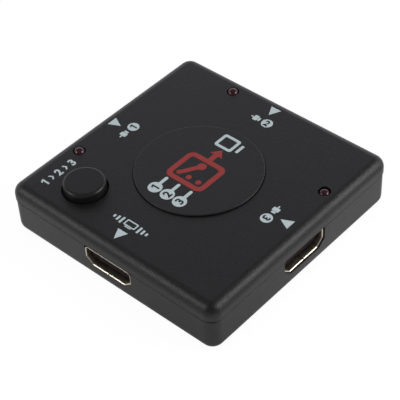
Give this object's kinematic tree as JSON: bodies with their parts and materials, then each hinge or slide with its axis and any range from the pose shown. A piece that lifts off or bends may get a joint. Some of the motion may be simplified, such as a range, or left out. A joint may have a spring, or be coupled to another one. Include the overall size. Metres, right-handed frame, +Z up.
{
  "type": "video signal switch box",
  "caption": "Square video switch box: two-part rounded casing, one output and three input sockets, press button, indicator lamps and a raised centre disc.",
  "frame": {"origin": "centre of the underside, where the box rests", "axes": "+Z up through the lid; -Y is the output socket's side, +X input 3, +Y input 2, -X input 1"},
  "size_m": [0.065, 0.065, 0.0166],
  "materials": {
    "case_plastic": "fine moulded texture, black",
    "disc_plastic": "satin, black",
    "button_plastic": "satin, black",
    "socket_sheet": "thin pale gold plating",
    "socket_moulding": "black",
    "contact_gold": "gold plated",
    "lamp_resin": "clear dark red, unlit",
    "tinned_sheet": "tinned",
    "spring_steel": "plain",
    "black_moulding": "plain",
    "board_laminate": "green lacquer",
    "chip_resin": "moulded resin",
    "capacitor_ceramic": "fired",
    "can_aluminium": "rolled can",
    "screw_steel": "blackened"
  },
  "bodies": {
    "casing": {"bottom_shell": "case_plastic", "can_capacitor_bases": "black_moulding", "can_capacitors": "can_aluminium", "case_screws": "screw_steel", "centre_disc": "disc_plastic", "ceramic_capacitor_caps": "tinned_sheet", "ceramic_capacitors": "capacitor_ceramic", "circuit_board": "board_laminate", "controller_chip": "chip_resin", "controller_chip_legs": "tinned_sheet", "input_1_contacts": "contact_gold", "input_1_insulator": "socket_moulding", "input_1_shell": "socket_sheet", "input_2_contacts": "contact_gold", "input_2_insulator": "socket_moulding", "input_2_shell": "socket_sheet", "input_3_contacts": "contact_gold", "input_3_insulator": "socket_moulding", "input_3_shell": "socket_sheet", "lamp_leads_1": "tinned_sheet", "lamp_leads_2": "tinned_sheet", "lamp_leads_3": "tinned_sheet", "lamp_lens_1": "lamp_resin", "lamp_lens_2": "lamp_resin", "lamp_lens_3": "lamp_resin", "main_chip": "chip_resin", "main_chip_legs": "tinned_sheet", "memory_chip_legs": "tinned_sheet", "memory_chips": "chip_resin", "output_contacts": "contact_gold", "output_insulator": "socket_moulding", "output_shell": "socket_sheet", "regulator": "chip_resin", "regulator_legs": "tinned_sheet", "resistor_caps": "tinned_sheet", "resistors": "chip_resin", "switch_cover": "tinned_sheet", "switch_dome": "spring_steel", "switch_housing": "black_moulding", "switch_terminals": "tinned_sheet", "top_shell": "case_plastic"},
    "button": {"select_button": "button_plastic", "switch_plunger": "black_moulding"}
  },
  "joints": [
    {"name": "select_press", "type": "slide", "parent": "casing", "child": "button", "axis": [0, 0, -1], "range_m": [0, 0.0003], "stiffness_N_per_m": 4000, "springref_m": -0.0001, "deforming": ["switch_dome"]}
  ]
}
